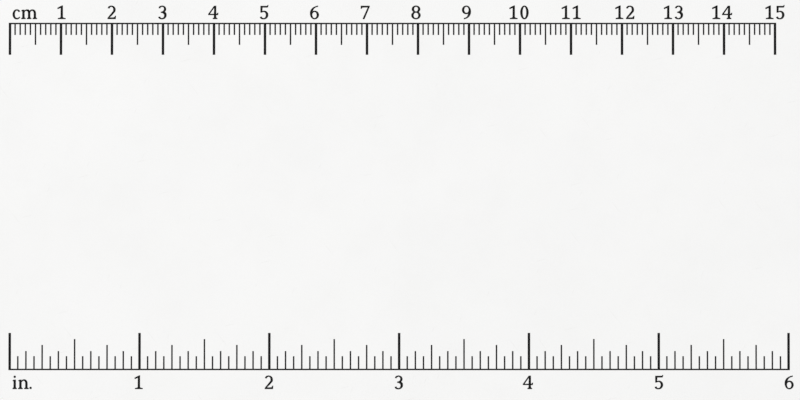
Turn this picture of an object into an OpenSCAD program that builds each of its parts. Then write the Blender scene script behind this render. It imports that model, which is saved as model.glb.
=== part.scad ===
// Measuring board: a flat white ruler plate with a centimetre scale along one long edge and an inch
// scale along the other. The marks of both scales point inwards, at whatever lies on the board between
// them. Every line and figure is a groove in the plate with a fill of black paint in it.
// The origin is the middle of the board on the surface that it lies on. +X runs along the scales, away
// from their zero, +Y towards the centimetre scale, and +Z is the outward side of the engraved face.

/* [Board] */
// Length of the board. Each scale has as many whole centimetres or inches as fit along it
board_length = 160; // [80:1:300]
// Least distance from the ends of the scales to the ends of the board
end_margin = 3.5; // [2:0.1:15]
// Width of the board, across the scales
board_width = 80; // [50:1:160]
// Thickness of the board
board_thickness = 3; // [2:0.5:8]
// Radius of the board's four corners, seen from above
corner_radius = 2.5; // [1:0.5:10]
// Radius of the rounding along the edges of both faces
edge_radius = 0.5; // [0.2:0.1:0.8]

/* [Lines] */
// Width of the scale lines and of the fine marks
fine_line = 0.3; // [0.1:0.05:0.4]
// Width of the whole centimetre and whole inch marks
heavy_line = 0.5; // [0.3:0.05:0.7]
// Depth of the grooves below the engraved face
groove_depth = 0.3; // [0.15:0.05:0.6]
// Distance from the engraved face down to the top of the paint in the grooves
paint_recess = 0.05; // [0.02:0.01:0.1]

/* [Centimetre scale] */
// Distance from the board's edge to the outer side of the centimetre line
cm_line_inset = 5.275; // [4:0.025:12]
// Distance from the outer side of the line to the far end of the whole centimetre marks
cm_mark = 6.3; // [5:0.05:8]
// The same distance for the half centimetre marks
half_cm_mark = 4.35; // [3:0.05:5]
// The same distance for the millimetre marks
mm_mark = 2.4; // [1.5:0.05:3]
// Distance from the centimetre line to the feet of its figures
cm_figure_gap = 0.7; // [0.4:0.025:1]

/* [Inch scale] */
// Distance from the board's edge to the outer side of the inch line
inch_line_inset = 6.65; // [5:0.025:12]
// How far the inch scale's zero lies to the right of the centimetre scale's
inch_zero_shift = 0.1; // [-0.2:0.05:0.2]
// Distance from the outer side of the line to the far end of the whole inch marks
inch_mark = 7.3; // [6.5:0.05:9]
// The same distance for the half inch marks
half_inch_mark = 6.1; // [5.2:0.05:6.5]
// The same distance for the quarter inch marks
quarter_inch_mark = 4.95; // [4:0.05:5.2]
// The same distance for the eighth inch marks
eighth_inch_mark = 3.75; // [3:0.05:4]
// The same distance for the sixteenth inch marks
sixteenth_inch_mark = 2.75; // [1.5:0.05:3]
// Distance from the inch line to the heads of its figures
inch_figure_gap = 1.05; // [0.5:0.05:1.5]

/* [Figures] */
// Height of the figures of both scales
figure_height = 2.65; // [1.8:0.05:2.7]
// How far their strokes are spread on each side, in hundredths of their height before that
boldness = 2; // [0:0.25:2]

/* [Foot pads] */
// Diameter of the four foot pads
pad_diameter = 8; // [4:0.5:12]
// Thickness of the foot pads
pad_thickness = 1; // [0.6:0.1:2]
// Bevel around the lower rim of the foot pads
pad_bevel = 0.2; // [0.1:0.05:0.4]
// Depth of the round seats that the foot pads are bonded into
pad_seat_depth = 0.5; // [0.2:0.1:0.8]
// Gap between a foot pad and the wall of its seat
pad_clearance = 0.1; // [0.05:0.05:0.3]
// Distance from the board's edges to the middle of each foot pad
pad_inset = 9; // [7:0.5:20]

/* [Hidden] */
mm_per_cm = 10;
mm_per_inch = 25.4;
cut_room = 1;            // how far a cutting shape runs past the face that it enters
round_fn = 96;

// The figures are drawn in units of their own, in which a figure is 100 high, and are then spread
design_height = 100;
design_pitch = 84;       // from the middle of one figure to that of the next in a number
small_height = 70;       // height of the small letters
thick = 15;              // width of an upright stroke
curve_steps = 6;         // straight facets along the curve between two knots of an outline
quarter_handle = 0.5523; // share of its reach that a quarter ellipse's curve handle takes

// Middles of the unit signs' letters along their scale from its zero, in the figures' units
c_middle = 48;
m_middle = 147;
i_middle = 39;
n_middle = 106;
stop_middle = 161;

// How far beyond its mark each number stands, counted from the number 1
cm_shifts = [0.1, -0.05, -0.1, -0.15, -0.15, -0.3, -0.35, -0.4, -0.5, -0.2, 0.05, 0.55, 0.1, -0.45, 0];
inch_shifts = [-0.15, -0.05, -0.05, -0.2, 0.05, 0.1];

// Where the marks lie, and how many there are
room = board_length - 2 * (end_margin + abs(inch_zero_shift));
cm_count = floor(room / mm_per_cm);
inch_count = floor(room / mm_per_inch);
cm_length = cm_count * mm_per_cm;
inch_length = inch_count * mm_per_inch;
zero_x = -max(cm_length, inch_length) / 2;
cm_line_y = board_width / 2 - cm_line_inset;
inch_line_y = -board_width / 2 + inch_line_inset;
pad_stand = pad_thickness - pad_seat_depth;
face_z = pad_stand + board_thickness;

SIDES = [["left", -1], ["right", 1]];
EDGES = [["cm", 1], ["inch", -1]];

// Section of the board's edge, from the middle of its corner rounding outwards
module edge_section() {
    square([corner_radius - edge_radius, board_thickness]);
    translate([0, edge_radius])
        square([corner_radius, board_thickness - 2 * edge_radius]);
    for (height = [edge_radius, board_thickness - edge_radius])
        translate([corner_radius - edge_radius, height])
            circle(edge_radius, $fn = round_fn);
}

// The plate before it is engraved: a slab with the edge section along its sides and around its corners
module blank() {
    flat = [board_length - 2 * corner_radius, board_width - 2 * corner_radius];
    translate([-flat[0] / 2, -flat[1] / 2])
        cube([flat[0], flat[1], board_thickness]);
    for (turn = [0:3]) {
        out = flat[turn % 2] / 2;
        run = flat[(turn + 1) % 2];
        rotate(90 * turn)
            translate([out, run / 2]) {
                rotate([90, 0, 0])
                    linear_extrude(run)
                        edge_section();
                rotate_extrude(angle = 90, $fn = round_fn)
                    edge_section();
            }
    }
}

// Stands its flat children in a groove of the engraved face, as the paint there or as the cut for it
module inlay(cut)
    color("black")
        translate([0, 0, face_z - groove_depth])
            linear_extrude(cut ? groove_depth + cut_room : groove_depth - paint_recess)
                children();

// A scale's line lies on its y = 0, with its outer side there, and inward is the sign of the y of its marks
module on_cm_line()
    translate([zero_x, cm_line_y])
        children();

module on_inch_line()
    translate([zero_x + inch_zero_shift, inch_line_y])
        children();

module line(length, inward)
    translate([-heavy_line / 2, min(0, inward * fine_line)])
        square([length + heavy_line, fine_line]);

// Marks at places along the scale, as far as reach from the line's outer side. Their grooves run into that
// of the line, and their paint starts at the line's inner side.
module marks(places, width, reach, inward, cut) {
    start = cut ? 0 : fine_line;
    for (place = places)
        translate([place - width / 2, inward > 0 ? start : -reach])
            square([width, reach - start]);
}

// Places on the inch scale from first on, at every step, both in inches
function inch_places(first, step) = [for (place = [first:step:inch_count]) place * mm_per_inch];

function shift_of(shifts, n) = n > len(shifts) ? 0 : shifts[n - 1];

// An outline runs through knots. [x, y] is a corner between straight lines, [x, y, heading] lies on a
// curve, and [x, y, heading in, heading out] is a corner where a curve ends or starts. Between two knots
// with headings it is a cubic curve, a quarter ellipse where the heading turns by 90 degrees.
function spot(knot) = [knot[0], knot[1]];
function way(heading) = [cos(heading), sin(heading)];
function heading_in(knot) = knot[2];
function heading_out(knot) = len(knot) > 3 ? knot[3] : knot[2];
function handle(from, to, heading) =
    quarter_handle * abs((spot(to) - spot(from)) * way(heading)) * way(heading);
function bezier(p, t) =
    (1 - t) ^ 3 * p[0] + 3 * (1 - t) ^ 2 * t * p[1] + 3 * (1 - t) * t ^ 2 * p[2] + t ^ 3 * p[3];
function curve(from, to) =
    let (start = handle(from, to, heading_out(from)), end = handle(from, to, heading_in(to)))
    [for (step = [0:curve_steps - 1])
        bezier([spot(from), spot(from) + start, spot(to) - end, spot(to)], step / curve_steps)];
function outline(knots) = [
    for (i = [0:len(knots) - 1])
        let (from = knots[i], to = knots[(i + 1) % len(knots)])
        each is_num(heading_out(from)) && is_num(heading_in(to)) ? curve(from, to) : [spot(from)]
];

function sum(values) = values * [for (value = values) 1];
function turned_right(v) = [v[1], -v[0]];

// 1 for points that run anticlockwise, -1 for points that run clockwise
function sense(points) =
    sign(sum([for (i = [0:len(points) - 1]) cross(points[i], points[(i + 1) % len(points)])]));

// The outline with its sides moved outwards by reach. Each point moves to where its two sides meet again,
// or less far at a corner sharper than a right angle
function spread(points, reach) =
    let (count = len(points), side = sense(points),
         outs = [for (i = [0:count - 1])
             let (run = points[(i + 1) % count] - points[i])
             side * turned_right(run) / norm(run)])
    [for (i = [0:count - 1])
        let (before = outs[(i + count - 1) % count], after = outs[i])
        points[i] + reach * (before + after) / (1 + max(before * after, 0))];

// A letter or figure: the area inside the outline through knots, less the counters, with its strokes spread
module glyph(knots, counters = [])
    difference() {
        polygon(spread(outline(knots), boldness));
        for (counter = counters)
            polygon(spread(outline(counter), -boldness));
    }

// The flat serif that an upright stroke at x stands on, from the stroke's right side to its left side
function foot(x, reach) =
    let (side = thick / 2, bracket = (reach + side) / 2)
    [for (corner = [[side, 12], [bracket, 7], [reach, 5], [reach, 0],
                    [-reach, 0], [-reach, 5], [-bracket, 7], [-side, 12]]) corner + [x, 0]];

// The head of a small letter's upright stroke at x, with its slanted serif, from left to right
function head(x) =
    let (side = thick / 2)
    [for (corner = [[-side, -10], [-side - 7, -9], [-side - 7, -5], [-side, -1], [side, 0]])
        corner + [x, small_height]];

// The closed bowl of a 6, with the tail that rises from it and ends at tail_x
module bowl_and_tail(tail_x)
    glyph([[tail_x, 101.5, undef, 191], [-33.5, 42, -90], [0, -2, 0], [33.5, 31, 90], [3, 62, 180],
           [-15, 55.5, 215, 78], [tail_x, 94.5, 11, undef]],
          [[[-18.5, 33, 90], [1, 54.5, 0], [18.5, 30, -90], [0, 5, 180]]]);

module dot(height)
    translate([0, height])
        circle(thick / 2 + boldness, $fn = round_fn);

module figure_0()
    glyph([[0, 102, 0], [31, 50, -90], [0, -2, 180], [-31, 50, 90]],
          [[[0, 95, 0], [15.5, 50, -90], [0, 5, 180], [-15.5, 50, 90]]]);

module figure_1()
    glyph([[9, 102.5], each foot(1.5, 28.5), [-6, 86], [-28, 77], [-31, 81], [-29, 86], [3, 102]]);

module figure_2()
    glyph([[-30, 83, undef, 80], [-3, 101.5, 0], [28, 73, -90], [16, 46, -130], [-17, 10.5, -132, undef],
           [14, 10.5], [22, 14], [26, 23], [31, 23], [29, 0], [-32, 0], [-31.5, 6],
           [-24, 17, undef, 50], [6, 54, 53], [13, 73, 90], [-2, 94.5, 180], [-18, 82, 262, undef]]);

module figure_3()
    glyph([[-29, 84, undef, 80], [-2, 101.5, 0], [26.5, 77, -90], [16, 54.5, -132, -35], [30, 28, -90],
           [-3, -2, 180], [-31, 14, 98, undef], [-19, 17, undef, -80], [-3, 5, 0], [14.5, 28, 90],
           [-12, 48, 188, undef], [-12, 54, undef, 8], [12.5, 77, 90], [-2, 94.5, 180],
           [-18, 83, 260, undef]]);

module figure_4()
    glyph([[21.5, 100], [21.5, 38.5], [28, 38.5], [33.5, 46], [38, 46], [36, 31], [21.5, 31],
           each foot(14, 16.5), [6.5, 31], [-38, 31], [-38, 37], [7, 100]],
          [[[6.5, 38.5], [-26, 38.5], [6.5, 84]]]);

module figure_5()
    glyph([[-28, 99], [22, 99], [27, 106], [31, 106], [28, 92], [23, 89], [-15, 89],
           [-15, 57, undef, 20], [-1, 62, 0], [30, 31, -90], [-4, -2, 180], [-32, 14, 98, undef],
           [-20, 17, undef, -80], [-4, 5, 0], [14, 31, 90], [-3, 54.5, 180], [-19, 50, 205, undef],
           [-28, 50]]);

module figure_6()
    bowl_and_tail(26.5);

module figure_7()
    glyph([[-33, 100], [33, 100], [33, 94], [-6, 2], [-9, -1], [-15, -1], [-18, 2], [20, 89], [-17, 89],
           [-24, 86], [-29, 79], [-33, 79]]);

module figure_8()
    glyph([[0.5, 102, 0], [32, 76, -90], [20, 53, -130, -48], [34.5, 27, -90], [0, -2, 180],
           [-34.5, 27, 90], [-19, 53, 48, 130], [-31, 76, 90]],
          [[[0.5, 95, 0], [17, 76, -90], [0.5, 56, 180], [-16, 76, 90]],
           [[0, 49.5, 0], [19.5, 27, -90], [0, 5, 180], [-19.5, 27, 90]]]);

module figure_9()
    translate([0, design_height])
        rotate(180)
            bowl_and_tail(18.5);

module letter_c()
    glyph([[28, 56, undef, 97], [3, 72.5, 180], [-27.5, 35, -90], [3, -2.5, 0], [28.5, 11, 42, undef],
           [24, 15.5, undef, 222], [3.5, 6.5, 180], [-12.5, 35, 90], [2, 65.5, 0],
           [16, 55, -82, undef]]);

module letter_m()
    glyph([each head(-44), [-36.5, 61, undef, 45], [-16, 72, 0], [4, 62, -55, 45], [27, 72, 0],
           [51.5, 44, -90, undef], each foot(44, 15.5), [36.5, 44, undef, 90], [23, 63.5, 180],
           [7.5, 54, 218, undef], each foot(0, 15.5), [-7.5, 44, undef, 90], [-21, 63.5, 180],
           [-36.5, 54, 218, undef], each foot(-44, 15.5)]);

module letter_n()
    glyph([each head(-23), [-15.5, 61, undef, 45], [7, 72, 0], [30.5, 44, -90, undef],
           each foot(23, 16), [15.5, 44, undef, 90], [3, 63.5, 180], [-15.5, 52, 218, undef],
           each foot(-23, 16)]);

module letter_i() {
    glyph([each head(0), each foot(0, 15)]);
    dot(93);
}

module full_stop()
    dot(thick / 2);

module figure(digit) {
    if (digit == 0) figure_0();
    if (digit == 1) figure_1();
    if (digit == 2) figure_2();
    if (digit == 3) figure_3();
    if (digit == 4) figure_4();
    if (digit == 5) figure_5();
    if (digit == 6) figure_6();
    if (digit == 7) figure_7();
    if (digit == 8) figure_8();
    if (digit == 9) figure_9();
}

// Brings its children from the figures' own units to their real size, with their feet at y = 0
module to_size()
    scale(figure_height / (design_height + 2 * boldness))
        translate([0, boldness])
            children();

// A number of one or two digits, centred on x = 0 with its foot at y = 0
module number(n)
    to_size()
        if (n < 10)
            figure(n);
        else
            for (side = [-1, 1])
                translate([side * design_pitch / 2, 0])
                    figure(side < 0 ? floor(n / 10) : n % 10);

module cm_line(cut = false)
    inlay(cut)
        on_cm_line()
            line(cm_length, -1);

module millimetre_marks(cut = false)
    inlay(cut)
        on_cm_line()
            marks([for (n = [0:cm_length]) if (n % (mm_per_cm / 2) != 0) n], fine_line, mm_mark, -1, cut);

module half_centimetre_marks(cut = false)
    inlay(cut)
        on_cm_line()
            marks([for (n = [0:cm_count - 1]) (n + 0.5) * mm_per_cm], fine_line, half_cm_mark, -1, cut);

module centimetre_marks(cut = false)
    inlay(cut)
        on_cm_line()
            marks([for (n = [0:cm_count]) n * mm_per_cm], heavy_line, cm_mark, -1, cut);

module cm_sign(cut = false)
    inlay(cut)
        on_cm_line()
            translate([0, cm_figure_gap])
                to_size() {
                    translate([c_middle, 0])
                        letter_c();
                    translate([m_middle, 0])
                        letter_m();
                }

module cm_numeral(n, cut = false)
    inlay(cut)
        on_cm_line()
            translate([n * mm_per_cm + shift_of(cm_shifts, n), cm_figure_gap])
                number(n);

module inch_line(cut = false)
    inlay(cut)
        on_inch_line()
            line(inch_length, 1);

module sixteenth_inch_marks(cut = false)
    inlay(cut)
        on_inch_line()
            marks(inch_places(1 / 16, 1 / 8), fine_line, sixteenth_inch_mark, 1, cut);

module eighth_inch_marks(cut = false)
    inlay(cut)
        on_inch_line()
            marks(inch_places(1 / 8, 1 / 4), fine_line, eighth_inch_mark, 1, cut);

module quarter_inch_marks(cut = false)
    inlay(cut)
        on_inch_line()
            marks(inch_places(1 / 4, 1 / 2), fine_line, quarter_inch_mark, 1, cut);

module half_inch_marks(cut = false)
    inlay(cut)
        on_inch_line()
            marks(inch_places(1 / 2, 1), fine_line, half_inch_mark, 1, cut);

module inch_marks(cut = false)
    inlay(cut)
        on_inch_line()
            marks(inch_places(0, 1), heavy_line, inch_mark, 1, cut);

module inch_sign(cut = false)
    inlay(cut)
        on_inch_line()
            translate([0, -inch_figure_gap - figure_height])
                to_size() {
                    translate([i_middle, 0])
                        letter_i();
                    translate([n_middle, 0])
                        letter_n();
                    translate([stop_middle, 0])
                        full_stop();
                }

module inch_numeral(n, cut = false)
    inlay(cut)
        on_inch_line()
            translate([n * mm_per_inch + shift_of(inch_shifts, n), -inch_figure_gap - figure_height])
                number(n);

module at_pad(edge, side)
    translate([side[1] * (board_length / 2 - pad_inset), edge[1] * (board_width / 2 - pad_inset)])
        children();

module board()
    color("white")
        difference() {
            translate([0, 0, pad_stand])
                blank();
            for (edge = EDGES, side = SIDES)
                at_pad(edge, side)
                    cylinder(d = pad_diameter + 2 * pad_clearance, h = pad_thickness, $fn = round_fn);
            cm_line(cut = true);
            millimetre_marks(cut = true);
            half_centimetre_marks(cut = true);
            centimetre_marks(cut = true);
            cm_sign(cut = true);
            for (n = [1:cm_count])
                cm_numeral(n, cut = true);
            inch_line(cut = true);
            sixteenth_inch_marks(cut = true);
            eighth_inch_marks(cut = true);
            quarter_inch_marks(cut = true);
            half_inch_marks(cut = true);
            inch_marks(cut = true);
            inch_sign(cut = true);
            for (n = [1:inch_count])
                inch_numeral(n, cut = true);
        }

module foot_pad(edge, side)
    color("dimgray")
        at_pad(edge, side)
            rotate_extrude($fn = round_fn)
                polygon([[0, 0], [pad_diameter / 2 - pad_bevel, 0], [pad_diameter / 2, pad_bevel],
                         [pad_diameter / 2, pad_thickness], [0, pad_thickness]]);

board();
for (edge = EDGES, side = SIDES)
    foot_pad(edge, side);
cm_line();
millimetre_marks();
half_centimetre_marks();
centimetre_marks();
cm_sign();
for (n = [1:cm_count])
    cm_numeral(n);
inch_line();
sixteenth_inch_marks();
eighth_inch_marks();
quarter_inch_marks();
half_inch_marks();
inch_marks();
inch_sign();
for (n = [1:inch_count])
    inch_numeral(n);
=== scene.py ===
"""Looks of a flat measuring board with a centimetre and an inch scale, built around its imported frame."""

import bpy
import numpy as np
from bpy.props import FloatProperty, FloatVectorProperty, IntProperty, PointerProperty
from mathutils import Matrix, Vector


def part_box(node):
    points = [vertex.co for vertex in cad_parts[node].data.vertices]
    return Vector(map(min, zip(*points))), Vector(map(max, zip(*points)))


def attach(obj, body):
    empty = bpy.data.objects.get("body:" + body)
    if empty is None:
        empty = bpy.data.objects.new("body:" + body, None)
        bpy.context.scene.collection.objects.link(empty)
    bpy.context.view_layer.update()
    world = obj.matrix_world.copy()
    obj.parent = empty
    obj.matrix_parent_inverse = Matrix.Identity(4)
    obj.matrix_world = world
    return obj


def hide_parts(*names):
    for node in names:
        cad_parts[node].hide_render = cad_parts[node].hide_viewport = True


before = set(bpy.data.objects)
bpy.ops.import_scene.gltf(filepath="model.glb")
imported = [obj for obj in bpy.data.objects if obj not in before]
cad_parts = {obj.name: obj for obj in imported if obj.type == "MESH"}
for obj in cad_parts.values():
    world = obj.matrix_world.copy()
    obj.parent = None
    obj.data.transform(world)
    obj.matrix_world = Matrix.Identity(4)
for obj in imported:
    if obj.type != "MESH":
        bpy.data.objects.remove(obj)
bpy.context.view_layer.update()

bl_info = {
    "name": "Measuring Board Looks",
    "version": (1, 0, 0),
    "blender": (4, 5, 0),
    "location": "3D View > Sidebar > Ruler",
    "description": "Finishes the board, paints its scales, moulds its foot pads and sets its stage",
    "category": "Object",
}

MM = 0.001
BODY = "root"
BOARD = "board"

# Each scale's line and the marks that run into it
SCALES = {
    "cm_line": ("millimetre_marks", "half_centimetre_marks", "centimetre_marks"),
    "inch_line": (
        "sixteenth_inch_marks",
        "eighth_inch_marks",
        "quarter_inch_marks",
        "half_inch_marks",
        "inch_marks",
    ),
}
PADS = sorted(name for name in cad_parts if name.startswith("foot_pad"))
RULED = {name for line, marks in SCALES.items() for name in (line, *marks)}
FIGURES = sorted(set(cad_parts) - RULED - set(PADS) - {BOARD})

FACE_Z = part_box(BOARD)[1].z
SAME_PLACE = 7                        # decimals of a metre to which two packed places are one
SAME_HEIGHT = 0.001 * MM              # packed heights closer than this are one
RIM_STEPS = np.array([0, 0.4, 1])     # where paint has points beside a wall, in shares of its rim's reach


class RulerBoardFinish(bpy.types.PropertyGroup):
    """Finish of the board"""

    colour: FloatVectorProperty(
        name="Colour", description="Colour of the plastic",
        subtype="COLOR", min=0, max=1, default=(0.955, 0.955, 0.952),
    )
    cloud_colour: FloatVectorProperty(
        name="Cloud Colour", description="Colour of the slightly darker clouds in the plastic",
        subtype="COLOR", min=0, max=1, default=(0.942, 0.943, 0.94),
    )
    cloud_size: FloatProperty(
        name="Cloud Size", description="Size of the clouds in the plastic",
        subtype="DISTANCE", unit="LENGTH", min=0, default=22 * MM,
    )
    roughness: FloatProperty(
        name="Roughness", description="Roughness of the matt face between its clouds",
        subtype="FACTOR", min=0, max=1, default=0.55,
    )
    grain_size: FloatProperty(
        name="Grain Size", description="Size of the mould's fine grain",
        subtype="DISTANCE", unit="LENGTH", min=0, default=0.11 * MM,
    )
    grain_height: FloatProperty(
        name="Grain Height", description="Height of the mould's fine grain",
        subtype="DISTANCE", unit="LENGTH", min=0, default=0.01 * MM,
    )
    grime_colour: FloatVectorProperty(
        name="Grime Colour", description="Colour of the grime in the grain and in the scuffs",
        subtype="COLOR", min=0, max=1, default=(0.5, 0.485, 0.455),
    )
    grain_grime: FloatProperty(
        name="Grain Grime", description="Share of grime in the hollows of the grain",
        subtype="FACTOR", min=0, max=1, default=0.09,
    )
    scuff_spacing: FloatProperty(
        name="Scuff Spacing", description="Distance from one hairline scuff to the next beside it",
        subtype="DISTANCE", unit="LENGTH", min=0, default=2.5 * MM,
    )
    scuff_grime: FloatProperty(
        name="Scuff Grime", description="Share of grime in the scuffs",
        subtype="FACTOR", min=0, max=1, default=0.12,
    )
    handled_colour: FloatVectorProperty(
        name="Handled Colour", description="Colour of the edges where hands have rubbed them",
        subtype="COLOR", min=0, max=1, default=(0.66, 0.64, 0.59),
    )
    edge_rub: FloatProperty(
        name="Edge Rub", description="Share of the handled colour on rubbed edges",
        subtype="FACTOR", min=0, max=1, default=0.8,
    )
    rub_size: FloatProperty(
        name="Rub Size", description="Size of the rubbed patches along the edges",
        subtype="DISTANCE", unit="LENGTH", min=0, default=6 * MM,
    )
    dust_colour: FloatVectorProperty(
        name="Dust Colour", description="Colour of the dust on the board",
        subtype="COLOR", min=0, max=1, default=(0.62, 0.6, 0.57),
    )
    dust: FloatProperty(
        name="Dust", description="Amount of dust on the board",
        subtype="FACTOR", min=0, max=1, default=0.35,
    )
    speck_size: FloatProperty(
        name="Speck Size", description="Size of a speck of dust",
        subtype="DISTANCE", unit="LENGTH", min=0, default=0.12 * MM,
    )


class RulerPaintFinish(bpy.types.PropertyGroup):
    """Finish and surface of the paint in the grooves"""

    colour: FloatVectorProperty(
        name="Colour", description="Colour of the paint",
        subtype="COLOR", min=0, max=1, default=(0.0025, 0.0025, 0.0028),
    )
    worn_colour: FloatVectorProperty(
        name="Worn Colour", description="Colour of the paint where it has gone dull",
        subtype="COLOR", min=0, max=1, default=(0.006, 0.006, 0.0063),
    )
    worn_size: FloatProperty(
        name="Worn Size", description="Size of the dull clouds",
        subtype="DISTANCE", unit="LENGTH", min=0, default=3 * MM,
    )
    roughness: FloatProperty(
        name="Roughness", description="Roughness of the paint between its dull clouds",
        subtype="FACTOR", min=0, max=1, default=0.49,
    )
    skin_size: FloatProperty(
        name="Skin Size", description="Size of the wrinkles in the paint's skin",
        subtype="DISTANCE", unit="LENGTH", min=0, default=0.09 * MM,
    )
    skin_height: FloatProperty(
        name="Skin Height", description="Height of the wrinkles in the paint's skin",
        subtype="DISTANCE", unit="LENGTH", min=0, default=0.003 * MM,
    )
    dust_colour: FloatVectorProperty(
        name="Dust Colour", description="Colour of the dust on the paint",
        subtype="COLOR", min=0, max=1, default=(0.3, 0.29, 0.27),
    )
    dust: FloatProperty(
        name="Dust", description="Amount of dust on the paint",
        subtype="FACTOR", min=0, max=1, default=0.3,
    )
    speck_size: FloatProperty(
        name="Speck Size", description="Size of a speck of dust",
        subtype="DISTANCE", unit="LENGTH", min=0, default=0.08 * MM,
    )
    rim_rise: FloatProperty(
        name="Rim Rise", description="How high the paint climbs the wall of a groove",
        subtype="DISTANCE", unit="LENGTH", min=0, default=0.035 * MM,
    )
    rim_reach: FloatProperty(
        name="Rim Reach", description="How far from a groove's wall the paint starts to climb it",
        subtype="DISTANCE", unit="LENGTH", min=0, default=0.05 * MM,
    )
    figure_rim_reach: FloatProperty(
        name="Figure Rim Reach", description="The same reach in the narrow strokes of the figures",
        subtype="DISTANCE", unit="LENGTH", min=0, default=0.03 * MM,
    )


class RulerPadFinish(bpy.types.PropertyGroup):
    """Shape and finish of the foot pads"""

    colour: FloatVectorProperty(
        name="Colour", description="Colour of the rubber",
        subtype="COLOR", min=0, max=1, default=(0.05, 0.051, 0.053),
    )
    mottle_shade: FloatProperty(
        name="Mottle Shade", description="Colour of the darker clouds, as a share of the rubber's colour",
        subtype="FACTOR", min=0, max=1, default=0.7,
    )
    mottle_size: FloatProperty(
        name="Mottle Size", description="Size of the darker clouds",
        subtype="DISTANCE", unit="LENGTH", min=0, default=1.6 * MM,
    )
    roughness: FloatProperty(
        name="Roughness", description="Roughness of the rubber between its clouds",
        subtype="FACTOR", min=0, max=1, default=0.72,
    )
    grain_size: FloatProperty(
        name="Grain Size", description="Size of the rubber's grain",
        subtype="DISTANCE", unit="LENGTH", min=0, default=0.14 * MM,
    )
    grain_height: FloatProperty(
        name="Grain Height", description="Height of the rubber's grain",
        subtype="DISTANCE", unit="LENGTH", min=0, default=0.012 * MM,
    )
    rubbed_colour: FloatVectorProperty(
        name="Rubbed Colour", description="Colour of the rubber where it is rubbed pale",
        subtype="COLOR", min=0, max=1, default=(0.19, 0.185, 0.175),
    )
    edge_rub: FloatProperty(
        name="Edge Rub", description="Share of the rubbed colour on the pad's edge and rings",
        subtype="FACTOR", min=0, max=1, default=0.45,
    )
    rub_size: FloatProperty(
        name="Rub Size", description="Size of the rubbed patches",
        subtype="DISTANCE", unit="LENGTH", min=0, default=1.2 * MM,
    )
    rings: IntProperty(
        name="Rings", description="Grip rings under a pad",
        min=0, max=12, default=4,
    )
    ring_depth: FloatProperty(
        name="Ring Depth", description="Depth of the hollows between the grip rings",
        subtype="DISTANCE", unit="LENGTH", min=0, default=0.12 * MM,
    )
    edge_radius: FloatProperty(
        name="Edge Radius", description="Radius of a pad's lower edge",
        subtype="DISTANCE", unit="LENGTH", min=0, default=0.25 * MM,
    )
    steps_round: IntProperty(
        name="Steps Round", description="Steps round a pad",
        min=12, max=256, default=96,
    )


class RulerStage(bpy.types.PropertyGroup):
    """Floor, lamps and camera"""

    floor_colour: FloatVectorProperty(
        name="Floor Colour", description="Colour of the floor",
        subtype="COLOR", min=0, max=1, default=(0.6, 0.605, 0.61),
    )
    cloud_shade: FloatProperty(
        name="Cloud Shade", description="Colour of the faint clouds, as a share of the floor's colour",
        subtype="FACTOR", min=0, max=1, default=0.985,
    )
    cloud_size: FloatProperty(
        name="Cloud Size", description="Size of the faint clouds in the floor",
        subtype="DISTANCE", unit="LENGTH", min=0, default=60 * MM,
    )
    floor_radius: FloatProperty(
        name="Floor Radius", description="Radius of the floor",
        subtype="DISTANCE", unit="LENGTH", min=0, default=6,
    )
    sky_strength: FloatProperty(
        name="Sky Strength", description="Strength of the even light from all round",
        min=0, default=0.575,
    )
    key_power: FloatProperty(
        name="Key Power", description="Power of the main lamp",
        unit="POWER", min=0, default=44,
    )
    key_colour: FloatVectorProperty(
        name="Key Colour", description="Colour of the main lamp's light",
        subtype="COLOR", min=0, max=1, default=(1, 0.995, 0.985),
    )
    key_place: FloatVectorProperty(
        name="Key Place", description="Place of the main lamp",
        subtype="TRANSLATION", unit="LENGTH", default=(-1.3, 1.5, 2),
    )
    fill_power: FloatProperty(
        name="Fill Power", description="Power of the lamp opposite the main lamp",
        unit="POWER", min=0, default=12.5,
    )
    fill_colour: FloatVectorProperty(
        name="Fill Colour", description="Colour of the light of the lamp opposite the main lamp",
        subtype="COLOR", min=0, max=1, default=(0.985, 0.99, 1),
    )
    fill_place: FloatVectorProperty(
        name="Fill Place", description="Place of the lamp opposite the main lamp",
        subtype="TRANSLATION", unit="LENGTH", default=(1.5, -1.4, 1.9),
    )
    lamp_size: FloatProperty(
        name="Lamp Size", description="Side of each square lamp",
        subtype="DISTANCE", unit="LENGTH", min=0, default=2.4,
    )
    view_width: FloatProperty(
        name="View Width", description="Width of the board's face that the camera takes in",
        subtype="DISTANCE", unit="LENGTH", min=0, default=156.69 * MM,
    )
    view_x: FloatProperty(
        name="View Centre X", description="Place along the board that the camera looks at",
        subtype="DISTANCE", unit="LENGTH", default=0.27 * MM,
    )
    view_y: FloatProperty(
        name="View Centre Y", description="Place across the board that the camera looks at",
        subtype="DISTANCE", unit="LENGTH", default=-0.04 * MM,
    )
    tilt: FloatProperty(
        name="Tilt", description="Angle from straight down, which sets the centimetre scale farther off",
        subtype="ANGLE", unit="ROTATION", default=np.radians(1.13),
    )
    lens: FloatProperty(
        name="Lens", description="Focal length in millimetres",
        min=1, default=135,
    )


def points_of(name):
    """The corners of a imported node's triangles, in order, as an array of points."""
    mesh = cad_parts[name].data
    points = np.empty(3 * len(mesh.vertices), np.float32)
    mesh.vertices.foreach_get("co", points)
    corners = np.empty(len(mesh.loops), np.int32)
    mesh.loops.foreach_get("vertex_index", corners)
    return points.astype(float).reshape(-1, 3)[corners]


def add_mesh(name, points, faces, material, smooth=False):
    """An object at the origin, with a mesh of points and faces."""
    mesh = bpy.data.meshes.new(name)
    mesh.from_pydata(points.tolist(), [], faces)
    mesh.polygons.foreach_set("use_smooth", np.full(len(mesh.polygons), smooth))
    mesh.materials.append(material)
    mesh.update()
    if mesh.validate():
        raise RuntimeError(f"the mesh of {name} isn't sound")
    made = bpy.data.objects.new(name, mesh)
    bpy.context.scene.collection.objects.link(made)
    return made


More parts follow.
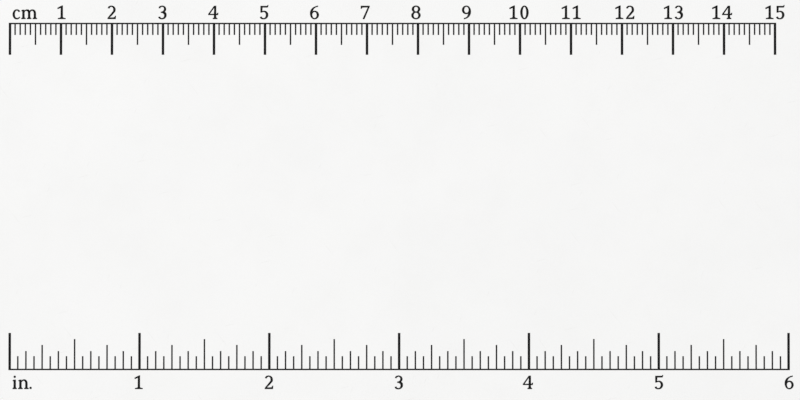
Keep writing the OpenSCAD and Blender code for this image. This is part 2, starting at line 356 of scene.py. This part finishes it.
def add_piece(name, points, faces, material, stands_for, smooth=False):
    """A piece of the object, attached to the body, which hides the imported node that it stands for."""
    piece = add_mesh(name, points, faces, material, smooth)
    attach(piece, BODY)
    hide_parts(stands_for)


def meniscus(distance, reach, rise):
    """Height of wet paint over its middle: rise * (1 - distance / reach) squared, or 0 past the reach."""
    return rise * np.clip(1 - distance / reach, 0, 1) ** 2


def closed_patches(across, along, top, floor_z):
    """Closed solids over rectangles, from a grid on each: the grid at its heights, the same grid flat on the
    floor with its faces turned over, and a wall of quads round both. across is patches by columns, along is
    rows, and top is patches by rows by columns."""
    count, rows, columns = top.shape
    x = np.broadcast_to(across[:, None, :], top.shape)
    y = np.broadcast_to(along[None, :, None], top.shape)
    upper = np.stack([x, y, top], -1).reshape(count, -1, 3)
    lower = upper.copy()
    lower[:, :, 2] = floor_z
    points = np.concatenate([upper, lower], 1)

    grid = np.arange(rows * columns).reshape(rows, columns)
    cells = np.stack([grid[:-1, :-1], grid[:-1, 1:], grid[1:, 1:], grid[1:, :-1]], -1).reshape(-1, 4)
    round_it = np.concatenate([grid[0, :-1], grid[:-1, -1], grid[-1, :0:-1], grid[:0:-1, 0]])
    after = np.roll(round_it, -1)
    below = rows * columns
    walls = np.stack([round_it, round_it + below, after + below, after], -1)
    faces = np.concatenate([cells, cells[:, ::-1] + below, walls])
    every = faces[None] + 2 * below * np.arange(count)[:, None, None]
    return points.reshape(-1, 3), every.reshape(-1, 4).tolist()


def mark_sides(name):
    """The left and right sides of each mark of a kind, as an array of pairs."""
    return np.unique(points_of(name)[:, 0].round(SAME_PLACE)).reshape(-1, 2)


def fill_marks(name, line_y, paint, material):
    """The paint of one kind of mark. Across a mark, and towards its far end, the surface climbs the wall as
    meniscus() says, by the distance to the nearest wall. It is open where the mark runs into its line."""
    low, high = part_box(name)
    sides = mark_sides(name)
    steps = paint.rim_reach * RIM_STEPS
    across = np.concatenate([sides[:, :1] + steps, sides[:, 1:] - steps[::-1]], 1)
    hangs = line_y > high.y - paint.rim_reach
    if hangs:
        along = np.concatenate([low.y + steps, [high.y]])
        to_end = along - low.y
    else:
        along = np.concatenate([[low.y], high.y - steps[::-1]])
        to_end = high.y - along
    to_side = np.minimum(across - sides[:, :1], sides[:, 1:] - across)
    distance = np.minimum(to_side[:, None, :], to_end[None, :, None])
    top = high.z + meniscus(distance, paint.rim_reach, paint.rim_rise)
    points, faces = closed_patches(across, along, top, low.z)
    add_piece(f"{name}_fill", points, faces, material, name)


def fill_line(name, marks, paint, material):
    """The paint of a scale's line. The surface climbs the line's outer wall and its two ends. On the inner
    side it climbs the wall between the marks, and sinks again over each mark's mouth, by the distance to
    the mouth's nearest corner."""
    low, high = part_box(name)
    mouths = np.concatenate([mark_sides(mark) for mark in marks])
    steps = paint.rim_reach * RIM_STEPS
    across = np.concatenate([mouths[:, :1] + steps, mouths[:, 1:] - steps])
    across = np.unique(across.round(SAME_PLACE))
    along = np.concatenate([low.y + steps, high.y - steps[::-1]])
    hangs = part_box(marks[0])[0].y < low.y
    to_inner = along - low.y if hangs else high.y - along
    to_outer = high.y - along if hangs else along - low.y
    in_mouth = np.minimum(across[:, None] - mouths[:, 0], mouths[:, 1] - across[:, None]).max(1).clip(0)
    to_end = np.minimum(across - low.x, high.x - across).clip(0)
    to_inner_wall = np.hypot(to_inner[:, None], in_mouth[None])
    distance = np.minimum(np.minimum(to_inner_wall, to_outer[:, None]), to_end[None])
    top = high.z + meniscus(distance, paint.rim_reach, paint.rim_rise)
    points, faces = closed_patches(across[None], along, top[None], low.z)
    add_piece(f"{name}_fill", points, faces, material, name)


def top_outline(name, top_z):
    """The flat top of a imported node: its points, its triangles, and for each point the points before and
    after it round the outline, which turns anticlockwise about the paint."""
    corners = points_of(name).reshape(-1, 3, 3)
    flat = corners[(np.abs(corners[:, :, 2] - top_z) < SAME_HEIGHT).all(1)]
    places, index = np.unique(flat[:, :, :2].reshape(-1, 2).round(SAME_PLACE), axis=0, return_inverse=True)
    triangles = index.reshape(-1, 3)
    starts = triangles.ravel()
    ends = np.roll(triangles, -1, 1).ravel()
    outer = ~np.isin(starts * len(places) + ends, ends * len(places) + starts)
    after = np.full(len(places), -1)
    before = np.full(len(places), -1)
    after[starts[outer]] = ends[outer]
    before[ends[outer]] = starts[outer]
    if (after < 0).any() or outer.sum() != len(places):
        raise RuntimeError(f"the outline of {name} doesn't close")
    return places, triangles, before, after


def inward(points, before, after):
    """For each point of an outline, the step that moves both its edges one unit towards the paint: the sum
    of the edges' inward normals over one plus their dot product."""
    least = 0.5        # keeps the step short at a sharp corner
    back = points - points[before]
    ahead = points[after] - points
    back = np.stack([-back[:, 1], back[:, 0]], -1) / np.linalg.norm(back, axis=1, keepdims=True)
    ahead = np.stack([-ahead[:, 1], ahead[:, 0]], -1) / np.linalg.norm(ahead, axis=1, keepdims=True)
    share = 1 + (back * ahead).sum(1, keepdims=True)
    return (back + ahead) / np.maximum(share, least)


def fill_figure(name, paint, material):
    """The paint of a figure or sign: a profile carried round its outline. Each ring lies one of RIM_STEPS
    inside the outline, at the height that meniscus() gives there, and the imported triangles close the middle
    and, turned over, the bottom."""
    low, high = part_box(name)
    outline, triangles, before, after = top_outline(name, high.z)
    reach = paint.figure_rim_reach
    steps = reach * RIM_STEPS
    places = outline[None] + steps[:, None, None] * inward(outline, before, after)[None]
    heights = np.broadcast_to((high.z + meniscus(steps, reach, paint.rim_rise))[:, None], places.shape[:2])
    rings = np.concatenate([places, heights[..., None]], -1)
    bottom = np.concatenate([outline, np.full((len(outline), 1), low.z)], -1)
    layers = np.concatenate([bottom[None], rings])

    count = len(outline)
    here = np.arange(count)
    band = np.stack([here, after, after + count, here + count], -1)
    bands = (band[None] + count * np.arange(len(layers) - 1)[:, None, None]).reshape(-1, 4)
    cap = triangles + count * (len(layers) - 1)
    faces = bands.tolist() + cap.tolist() + triangles[:, ::-1].tolist()
    add_piece(f"{name}_fill", layers.reshape(-1, 3), faces, material, name)


def pad_profile(radius, height, pad):
    """Half of a pad's section, from the middle of its underside to the middle of its top. The underside is
    ring_depth * sin squared of pi * radius / pitch, its lower edge is a quarter circle, and its top is
    flat behind a chamfer a quarter as wide."""
    steps_a_ring = 12
    steps_of_edge = 8
    flat = radius - pad.edge_radius
    across = np.linspace(0, flat, steps_a_ring * max(pad.rings, 1) + 1)
    under = pad.ring_depth * np.sin(np.pi * pad.rings * across / flat) ** 2
    turn = np.linspace(0, np.pi / 2, steps_of_edge + 1)[1:]
    edge = np.stack([flat + pad.edge_radius * np.sin(turn), pad.edge_radius * (1 - np.cos(turn))], -1)
    chamfer = pad.edge_radius / 4
    top = np.array([[radius, height - chamfer], [radius - chamfer, height], [0, height]])
    return np.concatenate([np.stack([across, under], -1), edge, top])


def turned(profile, steps, centre):
    """Turns a half section about the upright line through centre: a point goes to its radius times the
    cosine and the sine of each angle, at its own height. Both ends of the section are on that line, and
    each closes the surface with one point."""
    angle = np.linspace(0, 2 * np.pi, steps, endpoint=False)
    inner = profile[1:-1]
    x = centre.x + inner[:, :1] * np.cos(angle)
    y = centre.y + inner[:, :1] * np.sin(angle)
    z = np.broadcast_to(centre.z + inner[:, 1:], x.shape)
    poles = [[centre.x, centre.y, centre.z + end] for end in (profile[0, 1], profile[-1, 1])]
    points = np.concatenate([poles, np.stack([x, y, z], -1).reshape(-1, 3)])

    rings = len(poles) + np.arange(len(inner) * steps).reshape(len(inner), steps)
    beside = np.roll(rings, -1, 1)
    sides = np.stack([rings[:-1], beside[:-1], beside[1:], rings[1:]], -1).reshape(-1, 4)
    start = np.stack([np.zeros(steps, int), beside[0], rings[0]], -1)
    end = np.stack([np.ones(steps, int), rings[-1], beside[-1]], -1)
    return points, sides.tolist() + start.tolist() + end.tolist()


def mould_pad(name, pad, material):
    """A foot pad, turned from its half section."""
    low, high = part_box(name)
    centre = (low + high) / 2
    centre.z = low.z
    profile = pad_profile((high.x - low.x) / 2, high.z - low.z, pad)
    points, faces = turned(profile, pad.steps_round, centre)
    add_piece(f"{name}_rubber", points, faces, material, name, smooth=True)


def put(tree, socket, value):
    """Links an output to a socket, or sets the socket to a value. A colour gets its alpha here."""
    if isinstance(value, bpy.types.NodeSocket):
        tree.links.new(value, socket)
    elif socket.type == "RGBA":
        socket.default_value = (*value, 1)
    else:
        socket.default_value = value


def put_all(tree, node, inputs):
    """Links or sets the inputs of a node, each by its name or number."""
    for name, value in inputs.items():
        put(tree, node.inputs[name], value)


def add(tree, kind, inputs, **settings):
    """Adds a node to a tree, with its settings and inputs."""
    node = tree.nodes.new(kind)
    for name, value in settings.items():
        setattr(node, name, value)
    put_all(tree, node, inputs)
    return node


def maths(tree, operation, *values, clamp=False):
    """The output of one step of arithmetic."""
    inputs = dict(enumerate(values))
    return add(tree, "ShaderNodeMath", inputs, operation=operation, use_clamp=clamp).outputs[0]


def scale_of(tree, size):
    """The scale that makes a pattern of a size: one over it."""
    return maths(tree, "DIVIDE", 1, size)


def summed(tree, base, *terms):
    """base plus each mask times its weight, held between 0 and 1."""
    for mask, weight in terms:
        base = maths(tree, "MULTIPLY_ADD", mask, weight, base, clamp=True)
    return base


def ranged(tree, value, low, high, new_low=0, new_high=1, smooth=False):
    """Maps value from low..high to new_low..new_high, and holds it there."""
    inputs = {"Value": value, "From Min": low, "From Max": high, "To Min": new_low, "To Max": new_high}
    kind = "SMOOTHSTEP" if smooth else "LINEAR"
    return add(tree, "ShaderNodeMapRange", inputs, interpolation_type=kind).outputs["Result"]


def blended(tree, share, first, second):
    """The colour between first and second."""
    node = add(tree, "ShaderNodeMix", {}, data_type="RGBA")
    for name, value in (("Factor", share), ("A", first), ("B", second)):
        put(tree, next(socket for socket in node.inputs if socket.name == name and socket.enabled), value)
    return next(socket for socket in node.outputs if socket.enabled)


def raised(tree, height, distance):
    """The normal of a surface whose small heights are given in shares of distance."""
    inputs = {"Height": height, "Distance": distance, "Strength": 1}
    return add(tree, "ShaderNodeBump", inputs).outputs["Normal"]


def noise(tree, vector, scale, octaves):
    """Noise about 0.5."""
    inputs = {"Vector": vector, "Scale": scale, "Detail": octaves}
    return add(tree, "ShaderNodeTexNoise", inputs).outputs["Fac"]


def group(name, size, result):
    """A new shader node group that has a vector and a size as its inputs and one result:
    (its tree, the vector, the size, the socket for the result)."""
    tree = bpy.data.node_groups.new(name, "ShaderNodeTree")
    tree.interface.new_socket("Vector", in_out="INPUT", socket_type="NodeSocketVector")
    tree.interface.new_socket(size, in_out="INPUT", socket_type="NodeSocketFloat")
    tree.interface.new_socket(result, in_out="OUTPUT", socket_type="NodeSocketFloat")
    given = tree.nodes.new("NodeGroupInput").outputs
    return tree, given["Vector"], given[size], tree.nodes.new("NodeGroupOutput").inputs[result]


def fine_grain(name):
    """Fine grain of a moulded or painted surface, as a height: the mean of noise and of rounded cells."""
    octaves = 2
    roundness = 0.6
    tree, vector, size, height = group(name, "Grain Size", "Height")
    scale = scale_of(tree, size)
    inputs = {"Vector": vector, "Scale": scale, "Smoothness": roundness}
    cells = add(tree, "ShaderNodeTexVoronoi", inputs, feature="SMOOTH_F1").outputs["Distance"]
    both = maths(tree, "ADD", noise(tree, vector, scale, octaves), cells)
    put(tree, height, maths(tree, "MULTIPLY", both, 0.5))
    return tree


def soft_clouds(name):
    """Soft clouds of about one size, from 0 to 1."""
    octaves = 3
    clear, full = 0.3, 0.7
    tree, vector, size, share = group(name, "Cloud Size", "Share")
    clouds = noise(tree, vector, scale_of(tree, size), octaves)
    put(tree, share, ranged(tree, clouds, clear, full, smooth=True))
    return tree


def rubbed_edges(name):
    """Where rounded edges and corners are rubbed: twice the product of the normal's upright and level parts,
    or of its two level parts, in patches."""
    octaves = 4
    clear, full = 0.38, 0.62
    tree, vector, size, share = group(name, "Patch Size", "Share")
    normal = add(tree, "ShaderNodeNewGeometry", {}).outputs["Normal"]
    part = add(tree, "ShaderNodeSeparateXYZ", {0: normal}).outputs
    upright = maths(tree, "ABSOLUTE", part["Z"])
    level = maths(tree, "SQRT", maths(tree, "SUBTRACT", 1, maths(tree, "MULTIPLY", upright, upright)))
    edge = maths(tree, "MULTIPLY", upright, level)
    corner = maths(tree, "ABSOLUTE", maths(tree, "MULTIPLY", part["X"], part["Y"]))
    bent = maths(tree, "MULTIPLY", maths(tree, "MAXIMUM", edge, corner), 2)
    patches = ranged(tree, noise(tree, vector, scale_of(tree, size), octaves), clear, full)
    put(tree, share, maths(tree, "MULTIPLY", bent, patches))
    return tree


def settled_dust(name):
    """Dust on what faces up: single specks, and a thin film in clouds."""
    slides_off, stays = 0.5, 0.9      # upright part of the normal
    apart = 10                        # distance between specks, in speck sizes
    core, rim = 0.02, 0.06            # of a speck, in distances between specks
    film_size = 50                    # size of the film's clouds, in speck sizes
    octaves = 6
    clear, full = 0.45, 0.75
    film_share = 0.3
    tree, vector, size, share = group(name, "Speck Size", "Share")
    normal = add(tree, "ShaderNodeNewGeometry", {}).outputs["Normal"]
    facing = ranged(tree, add(tree, "ShaderNodeSeparateXYZ", {0: normal}).outputs["Z"], slides_off, stays)
    scale = scale_of(tree, size)
    inputs = {"Vector": vector, "Scale": maths(tree, "MULTIPLY", scale, 1 / apart)}
    specks = ranged(tree, add(tree, "ShaderNodeTexVoronoi", inputs).outputs["Distance"], core, rim, 1, 0)
    clouds = noise(tree, vector, maths(tree, "MULTIPLY", scale, 1 / film_size), octaves)
    film = ranged(tree, clouds, clear, full, 0, film_share)
    put(tree, share, maths(tree, "MULTIPLY", maths(tree, "ADD", specks, film, clamp=True), facing))
    return tree


def hairline_scuffs(name):
    """Hairline scuffs in three directions: the cores of long thin cells, of which a part is left out."""
    directions = ((14, 20), (68, 11), (127, 28))      # degrees from +X, and lengths in spacings
    core = 0.03                                       # half of a scuff's width, in spacings
    chosen_above = 0.55                               # of the cells' values, which run from 0 to 1
    tree, vector, size, share = group(name, "Spacing", "Share")
    scale = scale_of(tree, size)
    total = 0
    for degrees, length in directions:
        inputs = {"Vector": vector, "Rotation": (0, 0, np.radians(degrees)), "Scale": (length, 1, 1)}
        along = add(tree, "ShaderNodeMapping", inputs, vector_type="TEXTURE").outputs["Vector"]
        inputs = {"Vector": along, "Scale": scale}
        cells = add(tree, "ShaderNodeTexVoronoi", inputs, voronoi_dimensions="2D").outputs
        lines = ranged(tree, cells["Distance"], 0, core, 1, 0)
        chosen = maths(tree, "GREATER_THAN", cells["Color"], chosen_above)
        total = summed(tree, total, (lines, chosen))
    put(tree, share, total)
    return tree


def use(tree, build, **inputs):
    """Places a shared group in a material's tree, and makes the group the first time. Gives its output."""
    shared = bpy.data.node_groups.get(build.__name__) or build(build.__name__)
    named = {name.replace("_", " ").title(): value for name, value in inputs.items()}
    return add(tree, "ShaderNodeGroup", named, node_tree=shared).outputs[0]


def new_material(name):
    """A new material: (the material, its tree, its Principled shader, Object coordinates)."""
    material = bpy.data.materials.new(name)
    material.use_nodes = True
    tree = material.node_tree
    place = add(tree, "ShaderNodeTexCoord", {}).outputs["Object"]
    return material, tree, tree.nodes["Principled BSDF"], place


def shaded(colour, share):
    """A share of a colour."""
    return [share * part for part in colour]


def board_plastic(board):
    """White matt plastic: soft clouds, a mould's fine grain with a little grime in its hollows, hairline
    scuffs, edges rubbed by hands, and dust."""
    foul, clean = 0.22, 0.48        # heights in the grain
    dust_cover = 0.35               # share of its colour that the thickest dust shows
    scuff_depth = 1.5               # in heights of the grain
    cloudy, rubbed_smooth, scratched, dusty = 0.06, -0.14, 0.16, 0.3     # changes of the roughness
    material, tree, shader, place = new_material("board_plastic")
    clouds = use(tree, soft_clouds, vector=place, cloud_size=board.cloud_size)
    rubbed = use(tree, rubbed_edges, vector=place, patch_size=board.rub_size)
    scuffs = use(tree, hairline_scuffs, vector=place, spacing=board.scuff_spacing)
    specks = use(tree, settled_dust, vector=place, speck_size=board.speck_size)
    grain = use(tree, fine_grain, vector=place, grain_size=board.grain_size)

    dust = maths(tree, "MULTIPLY", specks, board.dust)
    hollows = ranged(tree, grain, foul, clean, 1, 0)
    grime = summed(tree, 0, (hollows, board.grain_grime), (scuffs, board.scuff_grime))
    colour = blended(tree, clouds, board.colour, board.cloud_colour)
    colour = blended(tree, grime, colour, board.grime_colour)
    colour = blended(tree, maths(tree, "MULTIPLY", rubbed, board.edge_rub), colour, board.handled_colour)
    colour = blended(tree, maths(tree, "MULTIPLY", dust, dust_cover), colour, board.dust_colour)
    changes = (clouds, cloudy), (rubbed, rubbed_smooth), (scuffs, scratched), (dust, dusty)
    height = maths(tree, "MULTIPLY_ADD", scuffs, -scuff_depth, grain)
    put_all(tree, shader, {
        "Base Color": colour,
        "Roughness": summed(tree, board.roughness, *changes),
        "Normal": raised(tree, height, board.grain_height),
        "IOR": 1.49,
        "Specular IOR Level": 0.35,
    })
    return material


def groove_paint(paint):
    """Black filler paint: nearly black, dull in clouds, with a fine skin and a trace of dust."""
    dust_cover = 0.08               # share of its colour that the thickest dust shows
    cloudy, dusty = 0.14, 1         # changes of the roughness
    material, tree, shader, place = new_material("groove_paint")
    clouds = use(tree, soft_clouds, vector=place, cloud_size=paint.worn_size)
    specks = use(tree, settled_dust, vector=place, speck_size=paint.speck_size)
    skin = use(tree, fine_grain, vector=place, grain_size=paint.skin_size)

    dust = maths(tree, "MULTIPLY", specks, paint.dust)
    colour = blended(tree, clouds, paint.colour, paint.worn_colour)
    colour = blended(tree, maths(tree, "MULTIPLY", dust, dust_cover), colour, paint.dust_colour)
    put_all(tree, shader, {
        "Base Color": colour,
        "Roughness": summed(tree, paint.roughness, (clouds, cloudy), (dust, dusty)),
        "Normal": raised(tree, skin, paint.skin_height),
        "Specular IOR Level": 0.12,
    })
    return material


def pad_rubber(pad):
    """Grey rubber: matt, mottled, with a fine grain, and pale where it is rubbed."""
    cloudy = 0.16                   # change of the roughness
    material, tree, shader, place = new_material("pad_rubber")
    clouds = use(tree, soft_clouds, vector=place, cloud_size=pad.mottle_size)
    grain = use(tree, fine_grain, vector=place, grain_size=pad.grain_size)
    rubbed = use(tree, rubbed_edges, vector=place, patch_size=pad.rub_size)

    colour = blended(tree, clouds, pad.colour, shaded(pad.colour, pad.mottle_shade))
    colour = blended(tree, maths(tree, "MULTIPLY", rubbed, pad.edge_rub), colour, pad.rubbed_colour)
    put_all(tree, shader, {
        "Base Color": colour,
        "Roughness": summed(tree, pad.roughness, (clouds, cloudy)),
        "Normal": raised(tree, grain, pad.grain_height),
        "Specular IOR Level": 0.4,
    })
    return material


def floor_paper(stage):
    """Pale matt paper for the floor, with faint clouds."""
    material, tree, shader, place = new_material("floor_paper")
    clouds = use(tree, soft_clouds, vector=place, cloud_size=stage.cloud_size)
    darker = shaded(stage.floor_colour, stage.cloud_shade)
    put_all(tree, shader, {
        "Base Color": blended(tree, clouds, stage.floor_colour, darker),
        "Roughness": 0.9,
        "Specular IOR Level": 0.2,
    })
    return material


def shared_paint(paint):
    """The one material of all the paint, made the first time that it is asked for."""
    return bpy.data.materials.get("groove_paint") or groove_paint(paint)


class RULER_OT_dress_board(bpy.types.Operator):
    """Give the board its white matt plastic"""

    bl_idname = "ruler.dress_board"
    bl_label = "Dress the Board"

    def execute(self, context):
        material = board_plastic(context.scene.ruler_board)
        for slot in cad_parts[BOARD].material_slots:
            slot.material = material
        return {"FINISHED"}


class RULER_OT_fill_scales(bpy.types.Operator):
    """Fill the grooves of both scales' lines and marks with paint"""

    bl_idname = "ruler.fill_scales"
    bl_label = "Fill the Lines and Marks"

    def execute(self, context):
        paint = context.scene.ruler_paint
        material = shared_paint(paint)
        for line, marks in SCALES.items():
            low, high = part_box(line)
            fill_line(line, marks, paint, material)
            for mark in marks:
                fill_marks(mark, (low.y + high.y) / 2, paint, material)
        return {"FINISHED"}


class RULER_OT_fill_figures(bpy.types.Operator):
    """Fill the grooves of the figures and unit signs with paint"""

    bl_idname = "ruler.fill_figures"
    bl_label = "Fill the Figures and Signs"

    def execute(self, context):
        paint = context.scene.ruler_paint
        for name in FIGURES:
            fill_figure(name, paint, shared_paint(paint))
        return {"FINISHED"}


class RULER_OT_mould_pads(bpy.types.Operator):
    """Mould the four rubber foot pads under the board"""

    bl_idname = "ruler.mould_pads"
    bl_label = "Mould the Foot Pads"

    def execute(self, context):
        pad = context.scene.ruler_pad
        material = pad_rubber(pad)
        for name in PADS:
            mould_pad(name, pad, material)
        return {"FINISHED"}


def add_lamp(name, place, size, power, colour):
    """A square lamp that faces the middle of the board."""
    lamp = bpy.data.lights.new(name, "AREA")
    lamp.size = size
    lamp.energy = power
    lamp.color = colour
    held = bpy.data.objects.new(name, lamp)
    held.location = place
    held.rotation_euler = (-Vector(place)).to_track_quat("-Z", "Y").to_euler()
    bpy.context.scene.collection.objects.link(held)


def add_floor(stage):
    """A round floor under the pads: rings of quads about one middle point, each ring twice the last."""
    steps = 64
    rings = 6
    angle = np.linspace(0, 2 * np.pi, steps, endpoint=False)
    radii = stage.floor_radius * 0.5 ** np.arange(rings)[::-1]
    ring = np.stack([np.cos(angle), np.sin(angle), np.zeros(steps)], -1)
    points = np.concatenate([[[0, 0, 0]], (radii[:, None, None] * ring).reshape(-1, 3)])
    index = 1 + np.arange(rings * steps).reshape(rings, steps)
    beside = np.roll(index, -1, 1)
    quads = np.stack([index[:-1], index[1:], beside[1:], beside[:-1]], -1).reshape(-1, 4)
    middle = np.stack([np.zeros(steps, int), index[0], beside[0]], -1)
    floor = add_mesh("floor", points, quads.tolist() + middle.tolist(), floor_paper(stage))


def set_sky(stage):
    """Even light from all round, and the same pale tone as the floor behind the object and in what gleams."""
    world = bpy.data.worlds.new("sky")
    bpy.context.scene.world = world
    world.use_nodes = True
    tree = world.node_tree
    tree.nodes.clear()
    light = add(tree, "ShaderNodeBackground", {"Color": (1, 1, 1), "Strength": stage.sky_strength})
    seen = add(tree, "ShaderNodeBackground", {"Color": stage.floor_colour, "Strength": 1})
    ray = add(tree, "ShaderNodeLightPath", {}).outputs
    shows = summed(tree, ray["Is Camera Ray"], (ray["Is Glossy Ray"], 1), (ray["Is Transmission Ray"], 1))
    mix = add(tree, "ShaderNodeMixShader", {0: shows, 1: light.outputs[0], 2: seen.outputs[0]})
    add(tree, "ShaderNodeOutputWorld", {"Surface": mix.outputs[0]})


def add_camera(stage):
    """A camera above the board, tilted a little, which takes in view_width of its face."""
    camera = bpy.data.cameras.new("camera")
    camera.lens = stage.lens
    camera.clip_start = 10 * MM
    distance = stage.view_width * stage.lens / camera.sensor_width
    held = bpy.data.objects.new("camera", camera)
    held.location = (
        stage.view_x,
        stage.view_y - distance * np.sin(stage.tilt),
        FACE_Z + distance * np.cos(stage.tilt),
    )
    held.rotation_euler.x = stage.tilt
    bpy.context.scene.collection.objects.link(held)
    bpy.context.scene.camera = held


class RULER_OT_set_stage(bpy.types.Operator):
    """Set up the floor, the soft lamps and the camera"""

    bl_idname = "ruler.set_stage"
    bl_label = "Set the Stage"

    def execute(self, context):
        stage = context.scene.ruler_stage
        add_floor(stage)
        set_sky(stage)
        add_lamp("key_lamp", stage.key_place, stage.lamp_size, stage.key_power, stage.key_colour)
        add_lamp("fill_lamp", stage.fill_place, stage.lamp_size, stage.fill_power, stage.fill_colour)
        add_camera(stage)
        context.scene.view_settings.view_transform = "Standard"
        return {"FINISHED"}


class RULER_PT_looks(bpy.types.Panel):
    """Steps and settings of the measuring board's looks"""

    bl_idname = "RULER_PT_looks"
    bl_label = "Measuring Board"
    bl_space_type = "VIEW_3D"
    bl_region_type = "UI"
    bl_category = "Ruler"

    def draw(self, context):
        for step in STEPS:
            self.layout.operator(step.bl_idname)
        for name, kind in SETTINGS.items():
            box = self.layout.box()
            settings = getattr(context.scene, name)
            for prop in kind.__annotations__:
                box.prop(settings, prop)


STEPS = (
    RULER_OT_dress_board,
    RULER_OT_fill_scales,
    RULER_OT_fill_figures,
    RULER_OT_mould_pads,
    RULER_OT_set_stage,
)
SETTINGS = {
    "ruler_board": RulerBoardFinish,
    "ruler_paint": RulerPaintFinish,
    "ruler_pad": RulerPadFinish,
    "ruler_stage": RulerStage,
}
CLASSES = (*SETTINGS.values(), *STEPS, RULER_PT_looks)


def register():
    """Registers the classes and gives every scene its settings."""
    for kind in CLASSES:
        bpy.utils.register_class(kind)
    for name, kind in SETTINGS.items():
        setattr(bpy.types.Scene, name, PointerProperty(type=kind))


def unregister():
    """Takes the settings and the classes away again."""
    for name in SETTINGS:
        delattr(bpy.types.Scene, name)
    for kind in reversed(CLASSES):
        bpy.utils.unregister_class(kind)


def main():
    """Does every step in order."""
    register()
    bpy.ops.ruler.dress_board()
    bpy.ops.ruler.fill_scales()
    bpy.ops.ruler.fill_figures()
    bpy.ops.ruler.mould_pads()
    bpy.ops.ruler.set_stage()


if __name__ == "__main__":
    main()
